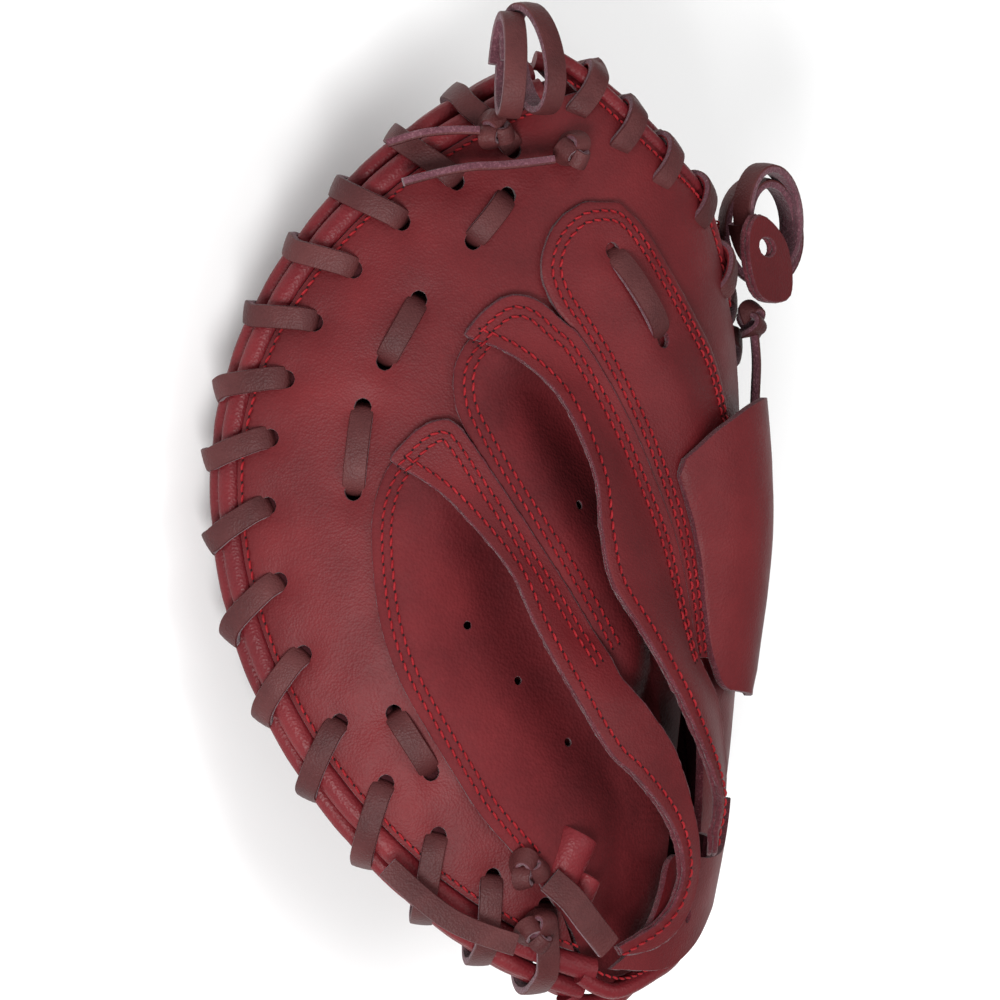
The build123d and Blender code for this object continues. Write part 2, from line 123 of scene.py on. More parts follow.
# Free edges and roots of the two flaps, as (y, s, h)
RING_FLAP_EDGE = [(15, 30, 27), (18, 24, 29), (22, 17, 31), (28, 12.5, 33), (37, 11, 34), (46, 15, 35),
                  (56, 23, 36), (69, 37, 37), (75, 44, 37), (95, 57, 36), (113, 67, 34), (129, 74, 32),
                  (140, 82, 30), (153, 94, 28), (159, 102, 26.8), (163, 109, 26.4)]
RING_FLAP_ROOT = [(12, 27, 26), (15, 15, 28), (20, 6, 30), (27, 1, 31), (38, 1, 32), (48, 5, 33),
                  (60, 12, 34), (76, 21, 34), (91, 31, 33), (104, 42, 29), (112, 48, 26.2), (178, 90, 26.2)]
MIDDLE_FLAP_EDGE = [(44, -6, 33), (50, -3, 34), (55, -1, 36), (62, 3, 38), (78, 15, 40), (93, 25, 41),
                    (112, 37, 41), (127, 46, 40), (143, 49, 39), (159, 50, 37), (175, 55, 34), (186, 61, 32),
                    (194, 69, 29), (199, 77, 27), (202, 85, 26.4)]
MIDDLE_FLAP_ROOT = [(42, -12, 30), (60, -11, 31), (72, -7, 32), (91, -1, 31), (104, 5, 27), (112, 8, 26.2),
                    (213, 59, 26.2)]


# The form and lines on it

def form(s, y, h):
    """Points in space, in metres, of points on the pattern."""
    s, y, h = np.broadcast_arrays(*(np.asarray(v, float) for v in (s, y, h)))
    neutral = RIDGE_RADIUS + NEUTRAL_H
    ridge_s = neutral * RIDGE_HALF_ANGLE
    side = np.where(s >= 0, 1.0, -1.0)
    on_ridge = np.abs(s) <= ridge_s
    beyond = (np.abs(s) - ridge_s) / (FLANK_RADIUS + NEUTRAL_H)
    angle = np.where(on_ridge, s / neutral, side * (RIDGE_HALF_ANGLE + beyond))
    radius = np.where(on_ridge, RIDGE_RADIUS, FLANK_RADIUS)
    offset = radius - RIDGE_RADIUS
    reach = radius + h + np.sqrt(BARREL_RADIUS**2 - (y - BARREL_Y) ** 2) - BARREL_RADIUS
    x = offset * np.sin(side * RIDGE_HALF_ANGLE) - reach * np.sin(angle)
    z = reach * np.cos(angle) - offset * math.cos(RIDGE_HALF_ANGLE)
    across = x * math.cos(LEAN) + z * math.sin(LEAN) + SHIFT[0]
    up = z * math.cos(LEAN) - x * math.sin(LEAN) + SHIFT[2]
    return np.stack([across, y + SHIFT[1], up], -1) * MM


def unit(v):
    return v / np.maximum(np.linalg.norm(v, axis=-1, keepdims=True), 1e-12)


def out_of_form(s, y, h):
    """The direction out of the form."""
    return unit(form(s, y, np.asarray(h) + 1.0) - form(s, y, h))


def resample(points, step):
    """Evenly spaced points along a line."""
    points = np.asarray(points, float)
    run = np.concatenate([[0], np.cumsum(np.linalg.norm(np.diff(points, axis=0), axis=1))])
    count = max(2, int(round(run[-1] / step)) + 1)
    at = np.linspace(0, run[-1], count)
    return np.stack([np.interp(at, run, column) for column in points.T], -1)


def smooth(points, step=2.0, closed=False):
    """Evenly spaced points of a smooth line through the given points."""
    p = np.asarray(points, float)
    if closed:
        p = np.vstack([p[-1:], p, p[:2]])
    else:
        p = np.vstack([2 * p[0] - p[1], p, 2 * p[-1] - p[-2]])
    t = np.linspace(0, 1, 10, endpoint=False)[:, None]
    rows = []
    for a, b, c, d in zip(p, p[1:], p[2:], p[3:]):
        square, cube = 2 * a - 5 * b + 4 * c - d, 3 * b - a - 3 * c + d
        rows.append(0.5 * (2 * b + (c - a) * t + square * t**2 + cube * t**3))
    rows.append(p[-2:-1])
    return resample(np.vstack(rows), step)


def shifted(line, distance):
    """A line on the pattern moved sideways, + to its left as it runs."""
    line = np.asarray(line, float)
    along = unit(np.gradient(line, axis=0))
    return line + distance * np.stack([-along[:, 1], along[:, 0]], -1)


def distance_to(line, s, y):
    """The distance on the pattern from points to a line."""
    line = np.asarray(line, float)
    a, b = line[:-1], line[1:]
    d = b - a
    size = np.maximum((d**2).sum(1), 1e-9)
    points = np.stack([np.ravel(s), np.ravel(y)], -1)
    found = []
    for block in np.array_split(points, max(1, len(points) // 1500)):
        rel = block[:, None] - a[None]
        t = np.clip((rel * d[None]).sum(2) / size, 0, 1)
        found.append(np.linalg.norm(rel - t[..., None] * d[None], axis=2).min(1))
    return np.concatenate(found).reshape(np.shape(s))


def inside(loop, s, y):
    """Which points of the pattern lie in a closed outline."""
    a = np.asarray(loop, float)
    b = np.roll(a, -1, axis=0)
    hit = np.zeros(np.shape(s), bool)
    for (s0, y0), (s1, y1) in zip(a, b):
        if y0 != y1:
            crosses = (y0 > y) != (y1 > y)
            hit ^= crosses & (s < (s1 - s0) * (y - y0) / (y1 - y0) + s0)
    return hit


def rim_at(half, angle, outward=0.0):
    """A point of a half's outline and the direction outwards, by its angle round the widest place."""
    side, middle, reach, widest, rise, fall = HALVES[half]

    def point(degrees):
        c, n = math.cos(math.radians(degrees)), math.sin(math.radians(degrees))
        return np.array([middle + side * reach * abs(c) ** ROUNDNESS, widest + (rise if n > 0 else fall) * n])
    along = unit(point(angle + 1) - point(angle - 1))
    out = side * np.array([along[1], -along[0]])
    return point(angle) + out * outward, out


def rim_line(half, first, last, outward=0.0):
    count = int(abs(last - first) / 4) + 2
    return np.array([rim_at(half, angle, outward)[0] for angle in np.linspace(first, last, count)])


def between(rows, y):
    """The value at y of rows of (y, value, ...), one column after another."""
    rows = np.asarray(rows, float)
    return [np.interp(y, rows[:, 0], column) for column in rows[:, 1:].T]


def eased(t):
    t = np.clip(t, 0, 1)
    return t * t * (3 - 2 * t)


def undulation(s, y, size=1.0):
    """The gentle unevenness of stuffed leather."""
    return size * (np.sin(s / 13 + 1.7 * np.sin(y / 29)) * np.sin(y / 17 + 0.6) * 0.5
                   + np.sin(s / 31 + 2.1) * np.sin(y / 37 + s / 53) * 0.6)


# Meshes

SHARP_ANGLE = math.radians(42)


class Shape:
    """Points and faces gathered from several parts, each face with its material's place."""

    def __init__(self):
        self.points, self.faces, self.slots, self.count = [], [], [], 0

    def add(self, points, faces, slots):
        self.faces += [tuple(self.count + i for i in face) for face in faces]
        self.slots += [slots] * len(faces) if isinstance(slots, int) else list(slots)
        self.points.append(np.asarray(points, float).reshape(-1, 3))
        self.count += len(self.points[-1])

    def build(self, name, materials):
        mesh = bpy.data.meshes.new(name)
        mesh.from_pydata(np.concatenate(self.points).tolist(), [], self.faces)
        for material in materials:
            mesh.materials.append(material)
        mesh.polygons.foreach_set("material_index", self.slots)
        mesh.polygons.foreach_set("use_smooth", [True] * len(self.faces))
        mesh.validate()
        mesh.set_sharp_from_angle(angle=SHARP_ANGLE)
        obj = bpy.data.objects.new(name, mesh)
        bpy.context.scene.collection.objects.link(obj)
        return obj


PLAIN_WALL = ((0.0, 1.0), (0.12, 0.9), (0.12, 0.1), (0.0, 0.0))
TWO_LAYERS = ((0.0, 1.0), (0.35, 0.93), (0.5, 0.75), (0.35, 0.58), (-0.15, 0.5), (0.35, 0.42), (0.5, 0.25),
              (0.35, 0.07), (0.0, 0.0))
EDGE_RINGS = (0.5, 1.4)
SMALL_HOLE, SMALL_HOLE_STEP = 12, 0.9


def leather(name, outline, top, thick, materials, holes=(), pitch=2.6, wall=PLAIN_WALL, nap=0.0):
    """A piece cut from the pattern: top is the height of its upper face. Its materials are for the
    upper face, the cut edge and the lower face. Each row of wall is (how far out, share of the thickness)."""
    loops = []
    for loop in (outline, *holes):
        closed = np.vstack([loop, loop[:1]])
        small = np.ptp(closed, axis=0).max() < SMALL_HOLE
        loops.append(resample(closed, SMALL_HOLE_STEP if small else pitch * 0.8)[:-1])
    ends = [np.vstack([loop, loop[:1]]) for loop in loops]

    def kept(points):
        found = inside(loops[0], points[:, 0], points[:, 1])
        for loop in loops[1:]:
            found &= ~inside(loop, points[:, 0], points[:, 1])
        return found

    def clearance(points):
        return np.min([distance_to(end, points[:, 0], points[:, 1]) for end in ends], axis=0)

    extra = []
    for inset in EDGE_RINGS:
        for end in ends:
            for way in (inset, -inset):
                moved = shifted(end, way)[:-1]
                extra.append(moved[kept(moved) & (clearance(moved) > inset * 0.93)])
    low, high = loops[0].min(0), loops[0].max(0)
    grid = []
    for row, y in enumerate(np.arange(low[1], high[1], pitch * 0.87)):
        across = np.arange(low[0] + (row % 2) * pitch / 2, high[0], pitch)
        grid.append(np.stack([across, np.full(len(across), y)], -1))
    grid = np.concatenate(grid)
    grid = grid[kept(grid)]
    grid = grid[clearance(grid) > EDGE_RINGS[-1] + pitch * 0.5]
    coords = np.concatenate([*loops, *extra, grid])
    edges, start = [], 0
    for loop in loops:
        edges += [(start + i, start + (i + 1) % len(loop)) for i in range(len(loop))]
        start += len(loop)
    flat, _, triangles, *_ = geometry.delaunay_2d_cdt([Vector(c) for c in coords], edges, [], 0, 1e-4)
    flat = np.array([tuple(v) for v in flat])
    triangles = np.array(triangles)
    triangles = triangles[kept(flat[triangles].mean(1))]
    p0, p1, p2 = flat[triangles].transpose(1, 0, 2)
    turn = np.cross(p1 - p0, p2 - p0)
    triangles[turn > 0] = triangles[turn > 0][:, ::-1]

    count = len(flat)
    s, y = flat.T
    upper = top(s, y)
    depth = thick(s, y) if callable(thick) else np.full(count, float(thick))
    shape = Shape()
    points = [form(s, y, upper), form(s, y, upper - depth)]
    faces = [tuple(t) for t in triangles] + [tuple(t[::-1] + count) for t in triangles]
    slots = [0] * len(triangles) + [2] * len(triangles)

    directed = {pair: True for a, b, c in triangles for pair in ((a, b), (b, c), (c, a))}
    border = [pair for pair in directed if (pair[1], pair[0]) not in directed]
    ring_of = {v: i for i, v in enumerate(sorted({v for pair in border for v in pair}))}
    index = np.array(sorted(ring_of))
    outward = np.zeros((len(index), 2))
    for a, b in border:
        d = flat[b] - flat[a]
        normal = np.array([-d[1], d[0]]) / max(np.hypot(*d), 1e-9)
        outward[ring_of[a]] += normal
        outward[ring_of[b]] += normal
    outward = unit(outward)
    rng = np.random.default_rng(7)
    first = 2 * count
    rows = [index]
    for out, share in wall[1:-1]:
        ragged = out + nap * rng.standard_normal(len(index))
        at = flat[index] + outward * ragged[:, None]
        points.append(form(at[:, 0], at[:, 1], upper[index] - depth[index] * (1 - share)))
        rows.append(np.arange(first, first + len(index)))
        first += len(index)
    rows.append(index + count)
    for here, below in zip(rows, rows[1:]):
        for a, b in border:
            i, j = ring_of[a], ring_of[b]
            faces.append((here[j], here[i], below[i], below[j]))
            slots.append(1)
    shape.add(np.concatenate(points), faces, slots)
    return shape.build(name, materials)


def sweep(shape, path, side, section, slots=0, scale=None):
    """A section of (across, up) points carried along a path; side is the way across."""
    path, section = np.asarray(path, float), np.asarray(section, float)
    along = unit(np.gradient(path, axis=0))
    side = unit(side - (side * along).sum(-1, keepdims=True) * along)
    up = np.cross(side, along)
    size = np.ones(len(path)) if scale is None else scale
    ring = size[:, None, None] * section[None]
    points = path[:, None] + ring[..., :1] * side[:, None] + ring[..., 1:] * up[:, None]
    n, k = len(path), len(section)
    faces = [(i * k + j, (i + 1) * k + j, (i + 1) * k + (j + 1) % k, i * k + (j + 1) % k)
             for i in range(n - 1) for j in range(k)]
    face_slots = [slots] * len(faces) if isinstance(slots, int) else list(slots) * (n - 1)
    faces += [tuple(range(k)), tuple(range(n * k - 1, (n - 1) * k - 1, -1))]
    face_slots += [max(face_slots)] * 2
    shape.add(points.reshape(-1, 3), faces, face_slots)


def lace_section(width=LACE_WIDTH, thick=LACE_THICK):
    """The flat lace: a domed smooth face, and square cut edges with another material."""
    half = [(-1, -0.5), (-1, 0.5), (-0.93, 0.92), (-0.5, 1.06), (0, 1.1), (0.5, 1.06), (0.93, 0.92),
            (1, 0.5), (1, -0.5), (0.93, -0.92), (0, -1), (-0.93, -0.92)]
    section = np.array(half) * (width / 2 * MM, thick / 2 * MM)
    slots = [1] + [0] * 6 + [1] + [2] * 4
    return section, slots


def lace(shape, points, on_edge=False, width=LACE_WIDTH):
    """A lace along points (s, y, h) of the pattern, lying flat on the form or standing on its edge."""
    line = smooth(points, 1.2)
    path = form(*line.T)
    out = out_of_form(*line.T)
    along = unit(np.gradient(path, axis=0))
    ribbon(shape, path, out if on_edge else np.cross(along, out), width)


def ribbon(shape, path, side, width=LACE_WIDTH, thick=LACE_THICK):
    """A lace along points in space, with the direction of its width at each."""
    section, slots = lace_section(width, thick)
    sweep(shape, path, side, section, slots)


def roll(shape, line, radii, scale=None, slots=0):
    """A rolled strip of leather along points (s, y, h) of the pattern."""
    turn = np.linspace(0, 2 * math.pi, 14, endpoint=False)
    section = np.stack([np.cos(turn) * radii[0], np.sin(turn) * radii[1]], -1) * MM
    path = form(*line.T)
    along = unit(np.gradient(path, axis=0))
    sweep(shape, path, np.cross(along, out_of_form(*line.T)), section, slots, scale)


def stitch_row(shape, line, top, lift=SEW_LIFT):
    """Thread stitches along a line on the pattern, on a surface of height top, with near-black discs of
    painted shade for the needle holes between.
    """
    line = resample(line, STITCH_PITCH)
    turn = np.linspace(0, 2 * math.pi, 6, endpoint=False)
    section = np.stack([np.cos(turn), np.sin(turn)], -1) * THREAD_RADIUS * MM
    share = np.array([0.12, 0.28, 0.5, 0.72, 0.88])
    rise = np.array([-0.35, 0.25, 0.42, 0.25, -0.35])
    swell = np.array([0.75, 1.0, 1.05, 1.0, 0.75])
    for a, b in zip(line, line[1:]):
        d = b - a
        lean = np.array([-d[1], d[0]]) * 0.09
        at = a + share[:, None] * d + (share[:, None] - 0.5) * 2 * lean
        h = top(at[:, 0], at[:, 1]) + lift
        path = form(at[:, 0], at[:, 1], h + rise)
        out = out_of_form(at[:, 0], at[:, 1], h)
        sweep(shape, path, np.cross(unit(np.gradient(path, axis=0)), out), section, 0, swell)
    # A near-black disc of painted shade at each needle hole.
    ring = np.stack([np.cos(turn), np.sin(turn)], -1)
    for a, along in zip(line, unit(np.gradient(line, axis=0))):
        across = np.array([-along[1], along[0]])
        at = a + 0.5 * ring[:, :1] * along + 0.36 * ring[:, 1:] * across
        points = form(at[:, 0], at[:, 1], top(at[:, 0], at[:, 1]) + lift + 0.1)
        shape.add(points, [tuple(range(5, -1, -1))], 1)


# Materials

def material(name, base, dark, bright, rough, patch_mm, grain_mm, grain_depth, fine=0.3, sheen=0.0,
             speck=None):
    """Grained leather or felt: broad patches of tone, small specks, uneven gloss, and a bump of cells
    and creases."""
    made = bpy.data.materials.new(name)
    made.use_nodes = True
    nodes, links = made.node_tree.nodes, made.node_tree.links
    shader = nodes["Principled BSDF"]
    place = nodes.new("ShaderNodeTexCoord").outputs["Object"]

    def noise(size_mm, detail=4.0, roughness=0.55):
        node = nodes.new("ShaderNodeTexNoise")
        node.inputs["Scale"].default_value = 1000.0 / size_mm
        node.inputs["Detail"].default_value = detail
        node.inputs["Roughness"].default_value = roughness
        links.new(place, node.inputs["Vector"])
        return node.outputs["Fac"]

    def ramp(value, stops):
        node = nodes.new("ShaderNodeValToRGB")
        links.new(value, node.inputs["Fac"])
        while len(node.color_ramp.elements) < len(stops):
            node.color_ramp.elements.new(0.5)
        for element, (position, color) in zip(node.color_ramp.elements, stops):
            element.position = position
            element.color = (*color, 1)
        return node.outputs["Color"]

    def mixed(share, a, b):
        node = nodes.new("ShaderNodeMix")
        node.data_type = "RGBA"
        if isinstance(share, float):
            node.inputs["Factor"].default_value = share
        else:
            links.new(share, node.inputs["Factor"])
        links.new(a, node.inputs["A"])
        links.new(b, node.inputs["B"])
        return node.outputs["Result"]

    patches = ramp(noise(patch_mm, 3.0), [(0.3, dark), (0.5, base), (0.72, bright)])
    specks = ramp(noise(grain_mm * 1.6, 6.0, 0.7), [(0.3, dark), (0.55, base), (0.75, speck or bright)])
    links.new(mixed(fine, patches, specks), shader.inputs["Base Color"])

    cells = nodes.new("ShaderNodeTexVoronoi")
    cells.inputs["Scale"].default_value = 1000.0 / grain_mm
    cells.inputs["Randomness"].default_value = 1.0
    links.new(place, cells.inputs["Vector"])
    bump = nodes.new("ShaderNodeBump")
    bump.inputs["Strength"].default_value = grain_depth
    bump.inputs["Distance"].default_value = 0.0003
    links.new(cells.outputs["Distance"], bump.inputs["Height"])
    creases = nodes.new("ShaderNodeBump")
    creases.inputs["Strength"].default_value = grain_depth * 0.6
    creases.inputs["Distance"].default_value = 0.0012
    links.new(noise(9.0, 5.0, 0.6), creases.inputs["Height"])
    links.new(bump.outputs["Normal"], creases.inputs["Normal"])
    links.new(creases.outputs["Normal"], shader.inputs["Normal"])

    gloss = nodes.new("ShaderNodeMapRange")
    gloss.inputs["To Min"].default_value = rough - 0.08
    gloss.inputs["To Max"].default_value = rough + 0.12
    links.new(noise(14.0, 4.0), gloss.inputs["Value"])
    links.new(gloss.outputs["Result"], shader.inputs["Roughness"])
    shader.inputs["Specular IOR Level"].default_value = 0.17
    shader.inputs["Sheen Weight"].default_value = sheen
    shader.inputs["Sheen Roughness"].default_value = 0.5
    return made


SHELL = material("oxblood_hide", (0.088, 0.0068, 0.009), (0.055, 0.004, 0.0055), (0.13, 0.0112, 0.0135), 0.5,
                 46, 0.75, 0.34)
LINING = material("oxblood_lining", (0.084, 0.0065, 0.0088), (0.05, 0.0038, 0.0055), (0.118, 0.0105, 0.013),
                  0.72, 38, 1.0, 0.5)
WELT = material("oxblood_welt", (0.108, 0.0085, 0.012), (0.078, 0.006, 0.009), (0.14, 0.014, 0.017), 0.42,
                30, 0.9, 0.5)
LACE = material("lace_face", (0.056, 0.0125, 0.013), (0.034, 0.007, 0.0075), (0.09, 0.024, 0.024), 0.5,
                22, 0.7, 0.5)
LACE_EDGE = material("lace_cut_edge", (0.095, 0.03, 0.042), (0.045, 0.012, 0.018), (0.18, 0.08, 0.1), 0.9,
                     9, 0.55, 1.0, 0.75, 0.15, (0.27, 0.14, 0.16))
RAW_EDGE = material("raw_edge", (0.075, 0.01, 0.016), (0.035, 0.005, 0.008), (0.12, 0.026, 0.036), 0.9,
                    9, 0.5, 1.0, 0.7, 0.12, (0.21, 0.075, 0.09))
SUEDE = material("flesh_side", (0.065, 0.01, 0.014), (0.04, 0.006, 0.009), (0.1, 0.02, 0.026), 0.92,
                 20, 0.6, 0.9, 0.5)
THREAD = material("red_thread", (0.21, 0.006, 0.01), (0.14, 0.003, 0.006), (0.3, 0.014, 0.019), 0.6,
                  12, 0.35, 0.6)
# Near-black discs at the needle holes: painted shade inside the holes.
NEEDLE_HOLE_SHADE = material("needle_hole_shade", (0.012, 0.003, 0.004), (0.006, 0.002, 0.002), (0.02, 0.005, 0.006), 0.9,
                       10, 0.6, 0.3)
# Near-black felt: painted shade, so that the pads seen through the lace holes look like the shade inside
# them.
FELT_AS_SHADE = material("felt_painted_shade", (0.032, 0.005, 0.007), (0.02, 0.003, 0.0045), (0.05, 0.01, 0.012), 0.95,
                24, 0.8, 1.0, 0.5)
HIDE = [SHELL, RAW_EDGE, SUEDE]
SOFT_HIDE = [LINING, RAW_EDGE, SUEDE]
LACED = [LACE, LACE_EDGE, LACE_EDGE]


def place(obj, body, slot, *nodes):
    """Puts a finished piece on its body and hides the CAD nodes that it stands for; slot is not used."""
    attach(obj, body)
    return declared(obj, nodes)


def across_fold(obj, slot, *nodes, h=PALM_H[1]):
    """Bakes a finished piece's placement into its mesh and hides the CAD nodes that it stands for; slot and h
    are not used.
    """
    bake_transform(obj)
    return declared(obj, nodes)


def declared(obj, nodes):
    if nodes:
        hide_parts(*nodes)
    return obj


# Camera and light

VIEW_TILT = math.radians(55.0)
VIEW_DISTANCE, VIEW_WIDTH, SENSOR_WIDTH = 7.0, 0.31, 36.0
FLOOR_REACH, FLOOR_GREY = 4.0, 0.92
WORLD_STRENGTH = 0.5
LIGHTS = (("key", (-1.5, -0.7, 1.2), 0.7, 46),
          ("fill", (-0.5, 1.4, 1.2), 1.2, 9),
          ("top", (0.2, -0.2, 1.8), 1.0, 12))


def camera():
    """The view of the back of the fingers, square to the flank, from far away."""
    from_side = np.array([-math.sin(VIEW_TILT), 0.0, math.cos(VIEW_TILT)])
    right = np.array([math.cos(VIEW_TILT), 0.0, math.sin(VIEW_TILT)])

    def leaned(v):
        return np.array([v[0] * math.cos(LEAN) + v[2] * math.sin(LEAN), v[1],
                         v[2] * math.cos(LEAN) - v[0] * math.sin(LEAN)])
    from_side, right = leaned(from_side), leaned(right)
    target = np.array([SHIFT[0], 4.6, SHIFT[2]]) * MM - right * 4.65 * MM
    eye = bpy.data.cameras.new("camera")
    eye.sensor_width = SENSOR_WIDTH
    eye.lens = SENSOR_WIDTH * VIEW_DISTANCE / VIEW_WIDTH
    obj = bpy.data.objects.new("camera", eye)
    bpy.context.scene.collection.objects.link(obj)
    spot = target + from_side * VIEW_DISTANCE
    up = np.cross(from_side, right)
    rows = [(*row, p) for row, p in zip(np.stack([right, up, from_side], -1), spot)]
    obj.matrix_world = Matrix([*rows, (0, 0, 0, 1)])
    bpy.context.scene.camera = obj


def studio():
    floor = bpy.data.meshes.new("floor")
    corners = [(x * FLOOR_REACH, y * FLOOR_REACH, 0) for x, y in ((-1, -1), (1, -1), (1, 1), (-1, 1))]
    floor.from_pydata(corners, [], [(0, 1, 2, 3)])
    paint = bpy.data.materials.new("floor_paint")
    paint.use_nodes = True
    shader = paint.node_tree.nodes["Principled BSDF"]
    shader.inputs["Base Color"].default_value = (FLOOR_GREY, FLOOR_GREY, FLOOR_GREY, 1)
    shader.inputs["Roughness"].default_value = 0.9
    floor.materials.append(paint)
    obj = bpy.data.objects.new("floor", floor)
    bpy.context.scene.collection.objects.link(obj)
    world = bpy.data.worlds.new("studio")
    world.use_nodes = True
    background = world.node_tree.nodes["Background"]
    background.inputs["Color"].default_value = (1.0, 1.0, 1.0, 1)
    background.inputs["Strength"].default_value = WORLD_STRENGTH
    bpy.context.scene.world = world
    for name, spot, size, power in LIGHTS:
        light = bpy.data.lights.new(name, "AREA")
        light.energy = power
        light.size = size
        lamp = bpy.data.objects.new(name, light)
        lamp.location = spot
        lamp.rotation_euler = (Vector((0, 0, 0.05)) - Vector(spot)).to_track_quat("-Z", "Y").to_euler()
        bpy.context.scene.collection.objects.link(lamp)
    bpy.context.scene.view_settings.view_transform = "Standard"


# Free lace ends, laid along the routes that the CAD has

TOE_END = ((60, 257, 31), (75, 255, 31), (90, 255, 32), (108, 250, 32))
HEEL_END = ((71, 16, 31), (86, 20, 32), (100, 28, 32), (113, 40, 31))


def free_end(name, route, node, on_edge):
    """A flat lace along the smooth line that a spline gives for its route."""
    points = [tuple(form(*p)) for p in route]
    curve = bpy.data.curves.new(name + "_route", "CURVE")
    curve.dimensions = "3D"
    spline = curve.splines.new("NURBS")
    spline.points.add(len(points) - 1)
    for point, at in zip(spline.points, points):
        point.co = (*at, 1)
    spline.order_u = 3
    spline.use_endpoint_u = True
    spline.resolution_u = 12
    holder = bpy.data.objects.new(name + "_route", curve)
    bpy.context.scene.collection.objects.link(holder)
    bpy.context.view_layer.update()
    line = bpy.data.meshes.new_from_object(holder)
    path = np.array([tuple(v.co) for v in line.vertices])
    bpy.data.objects.remove(holder)
    out = out_of_form(*np.mean(route, axis=0))[None].repeat(len(path), 0)
    shape = Shape()
    along = unit(np.gradient(path, axis=0))
    ribbon(shape, path, out if on_edge else np.cross(along, out))
    obj = shape.build(name, LACED)
    place(obj, FINGERS, "lace", node)


# The finger side

def wrap_places(half):
    first, last = WRAP_ANGLES[half]
    count = round((first - last) / WRAP_STEP)
    return [first + (last - first) * i / count for i in range(count + 1)]


def wrap_hole(half, angle):
    """Where a wrap goes into the back, and the directions across and along the rim there."""
    at, out = rim_at(half, angle)
    along = np.array([out[1], -out[0]]) * HALVES[half][0]
    return at - out * WRAP_HOLE - along * WRAP_SLANT, at, out, along


def circle(center, radius=HOLE_RADIUS):
    turn = np.linspace(0, 2 * math.pi, 12, endpoint=False)
    return np.asarray(center) + radius * np.stack([np.cos(turn), np.sin(turn)], -1)


FINGER_HOLES = [wrap_hole("fingers", angle)[0] for angle in wrap_places("fingers")]
FINGER_HOLES += [np.array(end) for s0, y0, s1, y1 in PAD_LACES for end in ((s0, y0), (s1, y1))]
THUMB_HOLES = [wrap_hole("thumb", angle)[0] for angle in wrap_places("thumb")]
FINGER_RIM = rim_line("fingers", 84, -84)
THUMB_RIM = rim_line("thumb", 84, -84)


def shell_top(s, y):
    """The back: drawn down at the rim, along the web and at each lace hole, with creases by the
    little finger."""
    s, y = np.asarray(s, float), np.asarray(y, float)
    rim = np.minimum(distance_to(FINGER_RIM, s, y), distance_to(THUMB_RIM, s, y))
    fall = 3.4 * np.clip(1 - rim / 16, 0, 1) ** 2
    web = 1.6 * np.clip(1 - distance_to(WEB_EDGE, s, y) / 9, 0, 1) ** 2
    dents = np.zeros(np.shape(s))
    for hole in (*FINGER_HOLES, *THUMB_HOLES):
        dents += 1.1 * np.exp(-((s - hole[0]) ** 2 + (y - hole[1]) ** 2) / 30.0)
    creases = 0.35 * np.sin((s + 0.6 * y) / 3.1) * np.exp(-((s - 118) ** 2 + (y - 84) ** 2) / 500.0)
    return SHELL_TOP - fall - web - dents + creases + undulation(s, y, 0.7)


def opening(left, right):
    return np.vstack([left, right[::-1]])


def back_leather():
    pinky = shifted(PINKY_EDGE, 6)
    ring_left, ring_right = shifted(RING_SEAM, -6), shifted(RING_SEAM, 6)
    index = shifted(INDEX_SEAM[:7], -6)
    hand = opening([(36, -8), (50, 20), *pinky[:5]],
                   [(-62, -8), (-62, 46), (-14, 50), (-9, 72), (-2, 98), (6, 104)])
    little = opening(pinky[3:9], [(30, 84), *ring_left[:4]])
    middle = opening([(30, 84), *ring_right[:8]], [(4, 96), *index])
    outline = np.vstack([rim_line("fingers", 80, -80, -SHELL_INSET), HEEL_EDGE, [(-43, 190)], WEB_EDGE])
    holes = [hand, little, middle] + [circle(hole) for hole in FINGER_HOLES]
    obj = leather("back_leather_fingers", outline, shell_top, SHELL_THICK, HIDE, holes)
    place(obj, FINGERS, "shell_leather", "back_shell_fingers")


def hollow_top(edge, width, toe):
    """The leather of a finger stall: a border on the back, then hollow under the flap."""
    def top(s, y):
        from_edge = distance_to(edge, s, y)
        deep = STALL_DEPTH * eased((from_edge - 7) / width) * eased((toe - np.asarray(y)) / 46)
        round_edge = 0.5 * np.clip(1 - from_edge / 1.5, 0, 1) ** 2
        return TRIM_TOP - deep - round_edge + undulation(s, y, 0.35)
    return top


PINKY_HOLLOW_TOP = hollow_top(smooth(PINKY_EDGE + [(100, 178)]), 44, 182)
MIDDLE_HOLLOW_TOP = hollow_top(smooth(RING_SEAM + [(74, 213)]), 30, 218)


def stall_hollows():
    far = [(86, 164), (66, 156), (44, 132), (22, 108), (0, 84), (-20, 60), (-34, 30)]
    heel = [(-24, 14), (-8, 7), (16, 6), (36, 12), (54, 26)]
    pinky = np.vstack([smooth(PINKY_EDGE, 3), [(102, 172)], smooth(far, 3), smooth(heel, 3)])
    far = [(70, 209), (62, 196), (46, 176), (34, 152), (22, 128), (10, 104), (0, 86), (-8, 68), (-13, 50),
           (-16, 40)]
    heel = [(2, 38), (12, 52), (20, 66), (29, 80), (36, 92)]
    middle = np.vstack([smooth(RING_SEAM, 3), smooth(far, 3), heel])
    for finger, outline, top, vents in (("pinky", pinky, PINKY_HOLLOW_TOP, PINKY_VENTS),
                                        ("middle", middle, MIDDLE_HOLLOW_TOP, MIDDLE_VENTS)):
        obj = leather(f"{finger}_stall_leather", outline, top, STALL_THICK, SOFT_HIDE,
                      [circle(vent, VENT_RADIUS) for vent in vents], nap=0.1)
        place(obj, FINGERS, "lining_leather", f"{finger}_stall_border", f"{finger}_stall_lining")


def flap_top(edge, root):
    """A flap's height: from its sewn side up to its free edge."""
    def top(s, y):
        s = np.asarray(s, float)
        free_s, free_h = between(edge, y)
        root_s, root_h = between(root, y)
        t = (s - root_s) / np.where(np.abs(free_s - root_s) < 1, 1, free_s - root_s)
        lift = eased(np.clip(t, 0, 1)) * 0.55 + np.clip(t, 0, 1) * 0.45
        return root_h + (free_h - root_h) * lift + undulation(s, y, 0.3)
    return top


